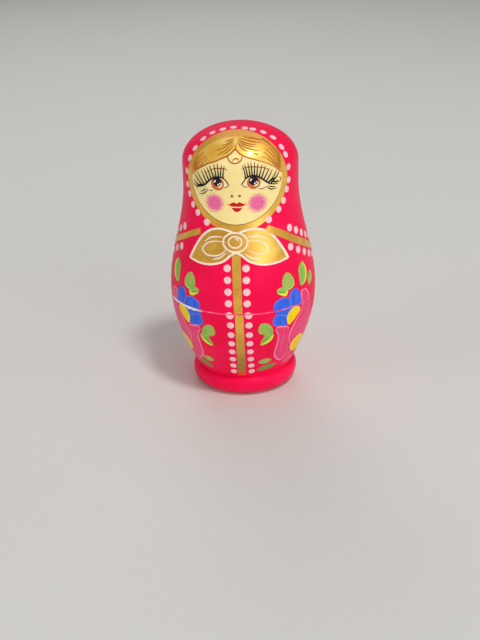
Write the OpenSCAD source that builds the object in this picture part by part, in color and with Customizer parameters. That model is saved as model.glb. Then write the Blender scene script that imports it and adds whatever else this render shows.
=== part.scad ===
// Nesting doll turned in limewood: four hollow dolls, each in two halves that
// push together on a collar, and a solid smallest doll in the middle.
// The outer doll stands on the plane z = 0 with its axis on Z. Each doll inside
// is the one around it made smaller, and stands on that doll's floor.

/* [Outer doll] */
// Diameter of the belly where it is widest
belly_d = 62; // [50:0.5:75]
// Height of the widest part of the belly above the table
belly_z = 43.5; // [38:0.5:52]
// Height of the shoulders, from the belly to the side of the head
shoulder_h = 46.5; // [38:0.5:56]
// Diameter of the head
head_d = 47.5; // [40:0.5:52]
// Height of the straight side of the head
head_side_h = 8; // [1:0.5:12]
// Height of the dome of the crown
crown_h = 15.2; // [12:0.2:24]

/* [Foot] */
// Diameter of the foot bead
foot_d = 45.5; // [38:0.5:52]
// Radius of the bead's lower edge
foot_round = 5.2; // [3:0.1:6]
// Height of the bead's straight side
foot_side_h = 0.8; // [0.4:0.1:2]
// Height of the bead's sloping shoulder
foot_shoulder = 2.5; // [1.5:0.1:3.5]
// How far the body is set in from the bead where the two meet
groove_in = 2.25; // [1:0.05:4]

/* [Seam and collar] */
// How far the seam between the halves lies below the widest part of the belly
seam_drop = 1.5; // [0:0.1:4]
// Height of the collar that stands up from the lower half
collar_h = 9; // [6:0.5:12]
// Wall of the collar
collar_wall = 2.5; // [1.8:0.1:3]
// Least wall of the upper half around the collar
rim_wall = 2.5; // [1.8:0.1:3]
// Gap all round between the collar and the upper half
fit_gap = 0.1; // [0.05:0.05:0.3]
// Gap between the end of the collar and the step that it points at
collar_end_gap = 0.5; // [0.3:0.1:1.5]

/* [Walls] */
// Wall of the bowl, the shoulders and the head
side_wall = 3.2; // [2.4:0.1:4]
// Wood left above the hollow of the head
crown_wall = 5; // [3:0.5:7]
// Wood left below the hollow of the lower half
floor_h = 12.5; // [11:0.5:15]
// Radius where the floor of the hollow meets its wall
floor_round = 4; // [2:0.5:5]

/* [Nest] */
// Least gap all round a doll inside the one that holds it
nest_gap = 1.4; // [0.8:0.1:2]
// Least gap over the crown of a doll inside the one that holds it
head_gap = 4; // [2:0.5:8]
// Gap left under the foot of a doll that stands inside another
stand_gap = 0.02; // [0.01:0.01:0.1]

/* [Hidden] */
lacquer = "crimson";
$fn = 96;

// Width of the broken edge on each side of the seam
arris = 0.3;
// Radius at the end of the collar
collar_round = 0.8;
// Points along each curve
body_steps = 18;
shoulder_steps = 24;
crown_steps = 14;
edge_steps = 6;

belly_r = belly_d / 2;
head_r = head_d / 2;
foot_r = foot_d / 2;
foot_h = foot_round + foot_side_h + foot_shoulder;
waist_r = foot_r - groove_in;
head_z = belly_z + shoulder_h;
crown_z = head_z + head_side_h;
doll_h = crown_z + crown_h;

seam_z = belly_z - seam_drop;
socket_top = seam_z + collar_h + collar_end_gap;
socket_r = min(body_r(seam_z), body_r(socket_top)) - rim_wall;
collar_r = socket_r - fit_gap;
bore_r = collar_r - collar_wall;

// Heights where the hollow comes in from the straight bore, below to the bowl and above to the head
floor_top = floor_h + floor_round;
bowl_share = (bore_r + side_wall - waist_r) / (belly_r - waist_r);
bowl_z = max(foot_h + (belly_z - foot_h) * asin(min(max(bowl_share, 0), 1)) / 90, floor_top);
neck_share = (bore_r + side_wall - head_r) / (belly_r - head_r);
neck_angle = acos(2 * min(max(neck_share, 0), 1) - 1);
neck_z = max(belly_z + shoulder_h * neck_angle / 180, socket_top);

// Size of each doll against the one around it: the tightest of belly, head, foot and height sets it
nest_share = min(
    (bore_r - nest_gap) / belly_r,
    (hollow_r(head_z) - nest_gap) / head_r,
    (hollow_r(floor_top) - nest_gap) / foot_r,
    (doll_h - crown_wall - floor_h - head_gap) / doll_h
);

// Radius of the body's outside from the foot bead to the head: a quarter sine wave
// up to the belly, half a cosine wave over the shoulders, then straight
function body_r(z) =
    z < belly_z
        ? waist_r + (belly_r - waist_r) * sin(90 * (z - foot_h) / (belly_z - foot_h))
    : z < head_z
        ? head_r + (belly_r - head_r) * (1 + cos(180 * (z - belly_z) / shoulder_h)) / 2
    : head_r;

// Radius of the hollow: the outside less the wall, or the straight bore where that is narrower
function hollow_r(z) = min(body_r(z) - side_wall, bore_r);

// Points along the outside of the body from height z0 to z1
function body_curve(z0, z1, steps) = [
    for (i = [0 : steps])
        let (z = z0 + (z1 - z0) * i / steps)
        [body_r(z), z]
];

// Points along the wall of the hollow from height z0 down to z1, if it curves there
function hollow_curve(z0, z1, steps) = [
    for (i = [0 : steps])
        let (z = z0 + (z1 - z0) * i / steps)
        if (z0 > z1)
            [hollow_r(z), z]
];

// Points of an elliptical arc in the section plane
function arc(centre, radii, from, to, steps) = [
    for (i = [0 : steps])
        let (a = from + (to - from) * i / steps)
        centre + [radii.x * cos(a), radii.y * sin(a)]
];

// Outside of the foot bead, from the axis to the groove under the body
function foot_curve() = concat(
    [[0, 0]],
    arc([foot_r - foot_round, foot_round], [foot_round, foot_round], -90, 0, edge_steps),
    arc([waist_r, foot_round + foot_side_h], [groove_in, foot_shoulder], 0, 90, edge_steps)
);

// Outside of the dome of the crown, from the side of the head to the axis
function crown_curve() = arc([0, crown_z], [head_r, crown_h], 0, 90, crown_steps);

// Edge of the lower half at the seam, the collar and the hollow down to the axis
function collar_and_bowl() = concat(
    [[body_r(seam_z) - arris, seam_z], [collar_r, seam_z]],
    arc([collar_r - collar_round, seam_z + collar_h - collar_round],
        [collar_round, collar_round], 0, 90, edge_steps),
    [[bore_r, seam_z + collar_h]],
    hollow_curve(bowl_z, floor_top, body_steps),
    arc([hollow_r(floor_top) - floor_round, floor_top],
        [floor_round, floor_round], 0, -90, edge_steps),
    [[0, floor_h]]
);

// Hollow of the upper half, from the axis under the crown to the edge at the seam
function head_and_socket() = concat(
    arc([0, crown_z], [hollow_r(crown_z), crown_h - crown_wall], 90, 0, crown_steps),
    hollow_curve(head_z, neck_z, shoulder_steps),
    [
        [bore_r, socket_top],
        [socket_r, socket_top],
        [socket_r, seam_z + arris],
        [socket_r + arris, seam_z],
        [body_r(seam_z) - arris, seam_z]
    ]
);

// Height of the foot of a doll, counted from 0 for the outer doll
function stand_z(doll) =
    doll == 0 ? 0 : stand_z(doll - 1) + (floor_h + stand_gap) * pow(nest_share, doll - 1);

// Puts a doll of its own size on the floor of the doll around it
module in_nest(doll) {
    translate([0, 0, stand_z(doll)])
        scale(pow(nest_share, doll))
            children();
}

// Foot, bowl and collar of a hollow doll
module lower_half(doll) {
    color(lacquer)
        in_nest(doll)
            rotate_extrude()
                polygon(concat(
                    foot_curve(),
                    body_curve(foot_h, seam_z - arris, body_steps),
                    collar_and_bowl()
                ));
}

// Shoulders and head of a hollow doll, bored to slip over the collar
module upper_half(doll) {
    color(lacquer)
        in_nest(doll)
            rotate_extrude()
                polygon(concat(
                    body_curve(seam_z + arris, head_z, shoulder_steps),
                    crown_curve(),
                    head_and_socket()
                ));
}

// Smallest doll, turned in one piece with no hollow
module solid_doll(doll) {
    color(lacquer)
        in_nest(doll)
            rotate_extrude()
                polygon(concat(
                    foot_curve(),
                    body_curve(foot_h, head_z, body_steps + shoulder_steps),
                    crown_curve()
                ));
}

lower_half(0);  // outer_lower_half
upper_half(0);  // outer_upper_half
lower_half(1);  // second_lower_half
upper_half(1);  // second_upper_half
lower_half(2);  // third_lower_half
upper_half(2);  // third_upper_half
lower_half(3);  // fourth_lower_half
upper_half(3);  // fourth_upper_half
solid_doll(4);  // smallest_doll
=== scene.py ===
import bpy
import math
from mathutils import Matrix, Vector


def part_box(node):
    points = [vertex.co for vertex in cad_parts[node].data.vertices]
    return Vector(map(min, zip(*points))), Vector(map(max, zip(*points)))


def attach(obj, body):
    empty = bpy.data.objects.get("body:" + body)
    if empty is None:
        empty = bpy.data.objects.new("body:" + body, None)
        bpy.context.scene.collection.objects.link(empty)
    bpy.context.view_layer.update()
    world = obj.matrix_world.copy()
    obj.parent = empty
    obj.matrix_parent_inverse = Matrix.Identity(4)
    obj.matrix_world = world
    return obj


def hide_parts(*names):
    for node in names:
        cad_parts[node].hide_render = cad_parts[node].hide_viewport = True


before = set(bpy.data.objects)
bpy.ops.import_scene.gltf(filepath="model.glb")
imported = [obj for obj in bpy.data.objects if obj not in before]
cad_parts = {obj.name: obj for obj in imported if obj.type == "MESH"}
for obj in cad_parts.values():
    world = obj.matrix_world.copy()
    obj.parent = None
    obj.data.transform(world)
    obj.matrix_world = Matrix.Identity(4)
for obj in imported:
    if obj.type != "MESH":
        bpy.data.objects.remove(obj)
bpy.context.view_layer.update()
mm = 0.001
print("frame loaded")

# the outer doll as turned, in mm, the same outline as the CAD solids
turned = {
    "height": 113.2, "bellyR": 31.0, "bellyZ": 43.5, "headR": 23.75, "headZ": 90.0, "crownZ": 98.0,
    "footR": 22.75, "footH": 8.5, "footRound": 5.2, "footShoulder": 2.5, "waistR": 20.5,
    "seamZ": 42.0, "arris": 0.3, "collarH": 9.0, "collarRound": 0.8, "collarWall": 2.5,
    "rimWall": 2.5, "fitGap": 0.1, "endGap": 0.5,
    "sideWall": 3.2, "crownWall": 5.0, "floorH": 12.5, "floorRound": 4.0,
}
lathe = {
    "turns": 144, "merge": 0.004, "skin": 0.5, "underside": 0.02, "footEdge": 10, "footShoulder": 8,
    "crown": 26, "bowl": 30, "collar": 5, "hollow": 14, "floor": 8, "shoulders": 40, "headHollow": 16,
    "neck": 20, "solid": 70,
}
smoothAngle = {"turned": math.radians(35), "brushed": math.radians(60)}
paintTurn = {"upper": 0.0, "lower": 1.8}  # degrees that the painting of each half stands off the front
sheetSize = 200  # mm of flat drawing that the UV map takes in
t = turned
seam, arris = t["seamZ"], t["arris"]


def bodyR(z):
    if z < t["bellyZ"]:
        share = (z - t["footH"]) / (t["bellyZ"] - t["footH"])
        return t["waistR"] + (t["bellyR"] - t["waistR"]) * math.sin(math.pi / 2 * share)
    if z < t["headZ"]:
        share = (z - t["bellyZ"]) / (t["headZ"] - t["bellyZ"])
        return t["headR"] + (t["bellyR"] - t["headR"]) * (1 + math.cos(math.pi * share)) / 2
    return t["headR"]


def outsideR(z):
    shoulderZ = t["footH"] - t["footShoulder"]
    if z < t["footRound"]:
        rise = math.sqrt(max(0, t["footRound"] ** 2 - (t["footRound"] - z) ** 2))
        return t["footR"] - t["footRound"] + rise
    if z < shoulderZ:
        return t["footR"]
    if z < t["footH"]:
        drop = (z - shoulderZ) / t["footShoulder"]
        return t["waistR"] + (t["footR"] - t["waistR"]) * math.sqrt(1 - drop ** 2)
    if z < t["crownZ"]:
        return bodyR(z)
    rise = (z - t["crownZ"]) / (t["height"] - t["crownZ"])
    return t["headR"] * math.sqrt(max(0, 1 - rise ** 2))


def surfaceFrame(z):
    # radius, and the outward direction in the section: (across, up)
    step = 0.01
    slope = (outsideR(min(z + step, t["height"])) - outsideR(z - step)) / (2 * step)
    size = math.hypot(1, slope)
    return outsideR(z), 1 / size, -slope / size


def arcPoints(centre, radii, start, end, steps):
    angles = [math.radians(start + (end - start) * i / steps) for i in range(steps + 1)]
    return [(centre[0] + radii[0] * math.cos(a), centre[1] + radii[1] * math.sin(a)) for a in angles]


# materials

def linearOf(hexColour):
    channels = [int(hexColour[i:i + 2], 16) / 255 for i in (0, 2, 4)]
    return [c / 12.92 if c <= 0.04045 else ((c + 0.055) / 1.055) ** 2.4 for c in channels] + [1]


def newFinish(name):
    finish = bpy.data.materials.new(name)
    finish.use_nodes = True
    return finish, finish.node_tree, finish.node_tree.nodes["Principled BSDF"]


def addNode(tree, kind, settings=None, links=None):
    node = tree.nodes.new(kind)
    for key, value in (settings or {}).items():
        if isinstance(key, str) and hasattr(node, key):
            setattr(node, key, value)
        else:
            node.inputs[key].default_value = value
    for key, source in (links or {}).items():
        tree.links.new(source, node.inputs[key])
    return node


def objectPlace(tree):
    return addNode(tree, "ShaderNodeTexCoord").outputs["Object"]


def grainOf(tree, place, size, detail, roughness=0.5):
    settings = {"Scale": 1 / size, "Detail": detail, "Roughness": roughness}
    return addNode(tree, "ShaderNodeTexNoise", settings, {"Vector": place}).outputs["Fac"]


def rampOf(tree, factor, stops):
    node = addNode(tree, "ShaderNodeValToRGB", None, {"Fac": factor})
    ramp = node.color_ramp
    while len(ramp.elements) < len(stops):
        ramp.elements.new(0.5)
    for element, (place, colour) in zip(ramp.elements, stops):
        element.position = place
        element.color = linearOf(colour)
    return node.outputs["Color"]


def reckon(tree, operation, *values):
    # one sum on sockets and plain numbers
    node = addNode(tree, "ShaderNodeMath", {"operation": operation})
    for i, value in enumerate(values):
        if isinstance(value, float):
            node.inputs[i].default_value = value
        else:
            tree.links.new(value, node.inputs[i])
    return node.outputs["Value"]


def span(tree, value, start, end, low=0.0, high=1.0):
    settings = {"From Min": start, "From Max": end, "To Min": low, "To Max": high}
    return addNode(tree, "ShaderNodeMapRange", settings, {"Value": value}).outputs["Result"]


def mixColour(tree, factor, first, second):
    settings = {"data_type": "RGBA", 7: linearOf(second)}
    return addNode(tree, "ShaderNodeMix", settings, {0: factor, 6: first}).outputs[2]


def setSurface(tree, shader, colour, settings):
    tree.links.new(colour, shader.inputs["Base Color"])
    for socket, value in settings.items():
        shader.inputs[socket].default_value = value


def emboss(tree, shader, height, strength, depth):
    settings = {"Strength": strength, "Distance": depth * mm}
    bump = addNode(tree, "ShaderNodeBump", settings, {"Height": height})
    tree.links.new(bump.outputs["Normal"], shader.inputs["Normal"])


def sheetPlace(tree):
    # place on the flat drawing in mm, and its parts across and up
    sheet = addNode(tree, "ShaderNodeUVMap", {"uv_map": "paintSheet"})
    settings = {"Location": (-sheetSize / 2, 0, 0), "Scale": (sheetSize, sheetSize, 1)}
    inMm = addNode(tree, "ShaderNodeMapping", settings, {"Vector": sheet.outputs["UV"]})
    part = addNode(tree, "ShaderNodeSeparateXYZ", None, {"Vector": inMm.outputs["Vector"]})
    return inMm.outputs["Vector"], part.outputs["X"], part.outputs["Y"]


def awayFrom(tree, spot):
    # place on the drawing, and its distance from a spot or from the spot's mirror image
    place, across, up = sheetPlace(tree)
    folded = addNode(tree, "ShaderNodeCombineXYZ", None, {"X": reckon(tree, "ABSOLUTE", across), "Y": up})
    away = addNode(tree, "ShaderNodeVectorMath", {"operation": "DISTANCE", 1: (*spot, 0)},
                   {0: folded.outputs["Vector"]})
    return place, away.outputs["Value"]


lacquerLook = {"deep": "EC0A40", "body": "F40E4A", "light": "FA1C56", "blotch": 14.0, "peel": 0.9}


def makeLacquer():
    # spray lacquer over limewood: an even crimson with soft clouds, a clear shine and fine orange peel
    finish, tree, shader = newFinish("crimsonLacquer")
    place = objectPlace(tree)
    cloud = grainOf(tree, place, lacquerLook["blotch"] * mm, 3.0)
    stops = [(0.2, lacquerLook["deep"]), (0.5, lacquerLook["body"]), (0.85, lacquerLook["light"])]
    setSurface(tree, shader, rampOf(tree, cloud, stops), {
        "Roughness": 0.45, "Specular IOR Level": 0.14, "Specular Tint": linearOf("FF6A8C"),
        "Coat Weight": 0.08, "Coat Roughness": 0.3})
    emboss(tree, shader, grainOf(tree, place, lacquerLook["peel"] * mm, 2.0), 0.06, 0.05)
    return finish


woodLook = {"grain": 0.7, "along": 18.0, "ring": 6.0}


def makeLimewood(name, early, late):
    # bare turned limewood: pale, fine grain that runs up the doll, and faint tool rings
    finish, tree, shader = newFinish(name)
    place = objectPlace(tree)
    stretch = addNode(tree, "ShaderNodeMapping", {"Scale": (1, 1, woodLook["grain"] / woodLook["along"])},
                      {"Vector": place})
    grain = grainOf(tree, stretch.outputs["Vector"], woodLook["grain"] * mm, 4.0)
    setSurface(tree, shader, rampOf(tree, grain, [(0.3, late), (0.7, early)]), {"Roughness": 0.62})
    settings = {"bands_direction": "Z", "Scale": 1 / (woodLook["ring"] * mm), "Distortion": 0.6}
    rings = addNode(tree, "ShaderNodeTexWave", settings, {"Vector": place})
    emboss(tree, shader, rings.outputs["Fac"], 0.15, 0.05)
    return finish


wearLook = {"from": -71, "to": -29, "soft": 0.1, "blotch": 5.0}


def makeWornEdge():
    # lacquer thinned to a pale line where the halves meet, broken away to the primer on the doll's right
    finish, tree, shader = newFinish("rubbedLacquerEdge")
    place = objectPlace(tree)
    wear = grainOf(tree, place, wearLook["blotch"] * mm, 6.0, 0.7)
    line = rampOf(tree, wear, [(0.34, "EE2C5C"), (0.52, "FA6084"), (0.68, "FFA8BA")])
    part = addNode(tree, "ShaderNodeSeparateXYZ", None, {"Vector": place})
    around = reckon(tree, "ARCTAN2", part.outputs["X"], reckon(tree, "MULTIPLY", part.outputs["Y"], -1.0))
    middle = math.radians(wearLook["from"] + wearLook["to"]) / 2
    half = math.radians(wearLook["to"] - wearLook["from"]) / 2
    away = reckon(tree, "ABSOLUTE", reckon(tree, "SUBTRACT", around, middle))
    bare = span(tree, away, half, half - wearLook["soft"])
    setSurface(tree, shader, mixColour(tree, bare, line, "F8EEE2"), {"Roughness": 0.5})
    return finish


powderLook = {"flake": 0.6, "cloud": 7.0}
goldLook = {"tones": ("E2A434", "F4BA46", "FED666"), "metal": 0.65, "gloss": 0.22}
hairLook = {"tones": ("FCB23E", "FFC44E", "FFE276"), "metal": 0.42, "gloss": 0.06, "corner": (18.0, 96.5)}


def makeGold(name, over=None, tones=goldLook["tones"], metal=goldLook["metal"], gloss=goldLook["gloss"]):
    # bronze powder in varnish: soft brushed clouds, and metal flakes drawn coarse so that they show
    finish, tree, shader = newFinish(name)
    place = objectPlace(tree)
    flake = grainOf(tree, place, powderLook["flake"] * mm, 2.0)
    cloud = grainOf(tree, place, powderLook["cloud"] * mm, 2.0)
    blend = addNode(tree, "ShaderNodeMix", {0: 0.6}, {2: flake, 3: cloud}).outputs[0]
    colour = rampOf(tree, blend, list(zip((0.3, 0.5, 0.7), tones)))
    if over:
        colour = over(tree, colour)
    setSurface(tree, shader, colour, {"Metallic": metal, "Coat Weight": 0.5, "Coat Roughness": gloss})
    tree.links.new(span(tree, flake, 0.0, 1.0, 0.36, 0.5), shader.inputs["Roughness"])
    emboss(tree, shader, flake, 0.04, 0.03)
    return finish


def hairGlaze(tree, colour):
    # orange varnish, deeper towards the lower corners of the hair
    place, away = awayFrom(tree, hairLook["corner"])
    return mixColour(tree, span(tree, away, 1.5, 9.0, 0.8, 0.0), colour, "EE9440")


def ringWash(tree, colour):
    # amber varnish that has gathered on the ring over the crown
    place, across, up = sheetPlace(tree)
    return mixColour(tree, span(tree, up, 96.0, 108.0, 0.0, 0.6), colour, "FCA844")


def stripeShadeAndThinEnd(tree, colour):
    # painted shade: the gold darkens to olive towards the foot, standing in for the shade and dark
    # reflection there; at its very end the gold is brushed thin and the red shows through
    place, across, up = sheetPlace(tree)
    # painted shade: olive from 34 mm down to 16 mm above the foot
    olive = mixColour(tree, span(tree, up, 34.0, 16.0, 0.0, 0.75), colour, "8C7A30")
    return mixColour(tree, span(tree, up, 13.2, 11.4, 0.0, 0.85), olive, "F06A3C")


brushShine = {"Roughness": 0.38, "Specular IOR Level": 0.15, "Coat Weight": 0.06, "Coat Roughness": 0.1}


def makeBrushPaint(name, thin, full, thick, streak):
    # gouache laid on with a brush and varnished: thin and thick streaks along the stroke
    finish, tree, shader = newFinish(name)
    sheet = addNode(tree, "ShaderNodeUVMap", {"uv_map": "paintSheet"})
    settings = {"Scale": (sheetSize / streak, sheetSize / (streak * 5), 1)}
    stretch = addNode(tree, "ShaderNodeMapping", settings, {"Vector": sheet.outputs["UV"]})
    brush = grainOf(tree, stretch.outputs["Vector"], 1.0, 4.0, 0.65)
    tone = rampOf(tree, brush, [(0.25, thin), (0.5, full), (0.78, thick)])
    setSurface(tree, shader, tone, brushShine)
    emboss(tree, shader, brush, 0.12, 0.04)
    return finish


cheekLook = {"spot": (8.4, 86.2), "radius": 3.5, "loose": 1.6, "speck": 0.5, "scatter": 5.5}


def makeCheekPaint():
    # pink dabbed on with a dry sponge over the cream: solid in the middle, loose specks at the rim
    finish, tree, shader = newFinish("spongedCheekPaint")
    place, away = awayFrom(tree, cheekLook["spot"])
    speck = grainOf(tree, place, cheekLook["speck"], 2.0, 0.8)
    scatter = cheekLook["scatter"]
    spread = reckon(tree, "MULTIPLY_ADD", speck, -scatter, scatter / 2 + cheekLook["radius"])
    dabbed = span(tree, reckon(tree, "SUBTRACT", spread, away), -0.6, 1.0)
    pink = reckon(tree, "MULTIPLY", dabbed, span(tree, speck, 0.35, 0.7, 1.0, 0.74))
    settings = {"data_type": "RGBA", 6: linearOf("F6DF98"), 7: linearOf("E64898")}
    tone = addNode(tree, "ShaderNodeMix", settings, {0: pink})
    setSurface(tree, shader, tone.outputs[2], {**brushShine, "Roughness": 0.42})
    return finish


# brush paints: name, colour where thin, full and thick, and width of the brush marks in mm
brushPaints = {
    "cream": ("creamFacePaint", "F5DC92", "F6DF98", "F7E3A4", 6.0),
    "white": ("whiteDotPaint", "F0B8BE", "F4C6C9", "F8DAD9", 1.2),
    "line": ("creamLinePaint", "F2D8C2", "F7E6D2", "FBF1E2", 1.2),
    "eyeWhite": ("eyeWhitePaint", "F6E0A6", "F7E4B0", "F9EAC0", 1.5),
    "glint": ("glintPaint", "E8EEF4", "F6FAFC", "FFFFFF", 1.5),
    "pink": ("pinkPetalPaint", "EA2864", "EE3C74", "F2588A", 1.3),
    "softPink": ("softPinkBlend", "EC3E76", "F05488", "F46E9C", 0.8),
    "palePink": ("palePinkStrokes", "F47AA2", "F792B2", "FAB2C8", 0.8),
    "blue": ("bluePetalPaint", "2A52D4", "3666E6", "4A7CF0", 1.6),
    "paleBlue": ("paleBlueStrokes", "5A68E0", "7484EC", "92A2F2", 0.8),
    "yellow": ("yellowPaint", "F0C000", "F8D000", "FADC28", 1.6),
    "paleYellow": ("paleYellowStrokes", "F4D83C", "F8E45C", "FAEE84", 0.8),
    "rim": ("leafRimPaint", "D2D634", "E2E43C", "F0E05C", 0.8),
    "green": ("leafGreenPaint", "6CB04A", "92C05A", "B4B45C", 1.4),
    "olive": ("oliveLeafBlend", "A8B45A", "B8B05A", "C0A65C", 1.0),
    "vein": ("darkVeinPaint", "5A9424", "6AA02C", "7CAC38", 0.8),
    "dimGreen": ("thinGreenPaint", "96643A", "749648", "86AE52", 0.9),
    "brown": ("brownLinePaint", "96481E", "A85A26", "B86A30", 0.8),
    "darkBrown": ("darkBrownLinePaint", "6A3A12", "7C4A1C", "8E5C28", 0.8),
    "orange": ("orangeHairLines", "A8641E", "B87428", "C88834", 0.8),
    "iris": ("irisPaint", "B8561E", "CC6C2E", "DC8846", 0.8),
    "black": ("blackLinePaint", "141216", "1A181C", "26242A", 0.8),
    "red": ("lipRedPaint", "B80606", "CE0C0C", "DC2420", 0.8),
}
finishes = {
    "lacquer": makeLacquer(),
    "wood": makeLimewood("bareTurnedLimewood", "E9CFA2", "D9B780"),
    "edge": makeWornEdge(),
    "primer": makeLimewood("chippedPrimer", "FFFAF2", "F6ECE0"),
    "gold": makeGold("bronzePowderGold"),
    "hair": makeGold("glazedHairGold", hairGlaze, hairLook["tones"], hairLook["metal"], hairLook["gloss"]),
    "ring": makeGold("amberRingGold", ringWash, metal=0.56),
    # the lower stripe's gold, with painted shade towards the foot and a thin red-showing end
    "stripe": makeGold("thinStripeGold", stripeShadeAndThinEnd),
    "cheek": makeCheekPaint(),
}
finishes.update({key: makeBrushPaint(*look) for key, look in brushPaints.items()})
print("finishes made:", len(finishes))


# turning

def clearSelection():
    if bpy.context.object and bpy.context.object.mode != "OBJECT":
        bpy.ops.object.mode_set(mode="OBJECT")
    bpy.ops.object.select_all(action="DESELECT")


def joinUp(parts):
    clearSelection()
    for part in parts:
        part.select_set(True)
    bpy.context.view_layer.objects.active = parts[0]
    if len(parts) > 1:
        bpy.ops.object.join()
    return bpy.context.object


def turnOnLathe(name, outline):
    clearSelection()
    bpy.ops.mesh.primitive_plane_add(size=mm)
    blank = bpy.context.object
    blank.name = name
    bpy.ops.object.mode_set(mode="EDIT")
    bpy.ops.mesh.merge(type="CENTER")  # one point, drawn out along the section
    bpy.ops.transform.translate(value=(outline[0][0] * mm, 0, outline[0][1] * mm))
    for (r0, z0), (r1, z1) in zip(outline, outline[1:]):
        step = ((r1 - r0) * mm, 0, (z1 - z0) * mm)
        bpy.ops.mesh.extrude_vertices_move(TRANSFORM_OT_translate={"value": step})
    bpy.ops.mesh.select_all(action="SELECT")
    bpy.ops.mesh.spin(steps=lathe["turns"], angle=2 * math.pi, center=(0, 0, 0), axis=(0, 0, 1))
    bpy.ops.mesh.select_all(action="SELECT")
    bpy.ops.mesh.remove_doubles(threshold=lathe["merge"] * mm)
    bpy.ops.mesh.normals_make_consistent(inside=False)
    bpy.ops.object.mode_set(mode="OBJECT")
    for key in ("lacquer", "wood", "edge"):
        blank.data.materials.append(finishes[key])
    for face in blank.data.polygons:
        r, z = math.hypot(face.center.x, face.center.y) / mm, face.center.z / mm
        within = lathe["skin"] * (1 + abs(face.normal.z))
        if z < lathe["underside"] or abs(r - outsideR(z)) > within:
            face.material_index = 1
        elif abs(z - seam) < arris and "solid" not in name:
            face.material_index = 2
    bpy.ops.object.shade_smooth_by_angle(angle=smoothAngle["turned"])
    return blank


def bodyRun(low, high, steps, wall=0.0):
    heights = [low + (high - low) * i / steps for i in range(steps + 1)]
    return [(bodyR(z) - wall, z) for z in heights]


socketTop = seam + t["collarH"] + t["endGap"]
socketR = min(bodyR(seam), bodyR(socketTop)) - t["rimWall"]
collarR = socketR - t["fitGap"]
boreR = collarR - t["collarWall"]
floorTop = t["floorH"] + t["floorRound"]
bowlShare = (boreR + t["sideWall"] - t["waistR"]) / (t["bellyR"] - t["waistR"])
bowlZ = t["footH"] + (t["bellyZ"] - t["footH"]) * math.asin(bowlShare) / (math.pi / 2)
neckShare = (boreR + t["sideWall"] - t["headR"]) / (t["bellyR"] - t["headR"])
neckZ = t["bellyZ"] + (t["headZ"] - t["bellyZ"]) * math.acos(2 * neckShare - 1) / math.pi
seamEdge = bodyR(seam) - arris

footRun = [(0, 0)]
footRun += arcPoints((t["footR"] - t["footRound"], t["footRound"]), (t["footRound"], t["footRound"]),
                     -90, 0, lathe["footEdge"])
footRun += arcPoints((t["waistR"], t["footH"] - t["footShoulder"]),
                     (t["footR"] - t["waistR"], t["footShoulder"]), 0, 90, lathe["footShoulder"])
crownRun = arcPoints((0, t["crownZ"]), (t["headR"], t["height"] - t["crownZ"]), 0, 90, lathe["crown"])
collarRun = arcPoints((collarR - t["collarRound"], seam + t["collarH"] - t["collarRound"]),
                      (t["collarRound"], t["collarRound"]), 0, 90, lathe["collar"])
floorRun = arcPoints((bodyR(floorTop) - t["sideWall"] - t["floorRound"], floorTop),
                     (t["floorRound"], t["floorRound"]), 0, -90, lathe["floor"])
hollowRadii = (t["headR"] - t["sideWall"], t["height"] - t["crownWall"] - t["crownZ"])
headHollow = arcPoints((0, t["crownZ"]), hollowRadii, 90, 0, lathe["headHollow"])
shells = {
    "lower": turnOnLathe("outer_lower_half_shell", (
        footRun + bodyRun(t["footH"], seam - arris, lathe["bowl"])[1:]
        + [(seamEdge, seam), (collarR, seam)] + collarRun + [(boreR, seam + t["collarH"])]
        + bodyRun(bowlZ, floorTop, lathe["hollow"], t["sideWall"]) + floorRun[1:] + [(0, t["floorH"])])),
    "upper": turnOnLathe("outer_upper_half_shell", (
        bodyRun(seam + arris, t["headZ"], lathe["shoulders"]) + crownRun + headHollow
        + bodyRun(t["headZ"], neckZ, lathe["neck"], t["sideWall"])
        + [(boreR, socketTop), (socketR, socketTop), (socketR, seam + arris), (socketR + arris, seam),
           (seamEdge, seam), (bodyR(seam + arris), seam + arris)])),
}
solidShell = turnOnLathe("smallest_doll_solid", (
    footRun + bodyRun(t["footH"], t["headZ"], lathe["solid"])[1:] + crownRun))
print("shells turned")


# painting: each motif is drawn flat in mm, x across and z up, then laid on the doll

def curveAt(p, q, r, w, u):
    return 0.5 * (2 * q + (r - p) * u + (2 * p - 5 * q + 4 * r - w) * u ** 2
                  + (3 * q - p - 3 * r + w) * u ** 3)


def smoothLine(points, perSpan, closed):
    # a curve through the points; a point given twice makes a corner
    count = len(points)
    drawn = []
    for i in range(count if closed else count - 1):
        near = [k % count if closed else min(max(k, 0), count - 1) for k in range(i - 1, i + 3)]
        a, b, c, d = [points[k] for k in near]
        if b == c:
            continue
        for s in range(perSpan):
            drawn.append(tuple(curveAt(*four, s / perSpan) for four in zip(a, b, c, d)))
    if not closed:
        drawn.append(tuple(points[-1]))
    return drawn


def ovalLine(x, z, halfX, halfZ, count=40):
    turns = [2 * math.pi * i / count for i in range(count)]
    return [(x + halfX * math.cos(a), z + halfZ * math.sin(a)) for a in turns]


def mirrored(lines):
    return lines + [[(-x, z) for x, z in line] for line in lines]


beltR = t["bellyR"]  # flower sheets are unrolled from the belly


def onBelt(points):
    return [(math.radians(angle) * beltR, z) for angle, z in points]


def frontAngle(x, z):
    return math.degrees(math.asin(x / outsideR(z)))


def sheetSpot(x, z):
    return x / sheetSize + 0.5, z / sheetSize


paints = {"upper": [], "lower": []}  # painted pieces of each half, with their record slots


def finishPaint(piece, half, name, key, slotName):
    piece.name = "outer_%s_half_%s" % (half, name)
    piece.data.materials.clear()
    piece.data.materials.append(finishes[key])
    paints[half].append((piece, slotName))


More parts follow.
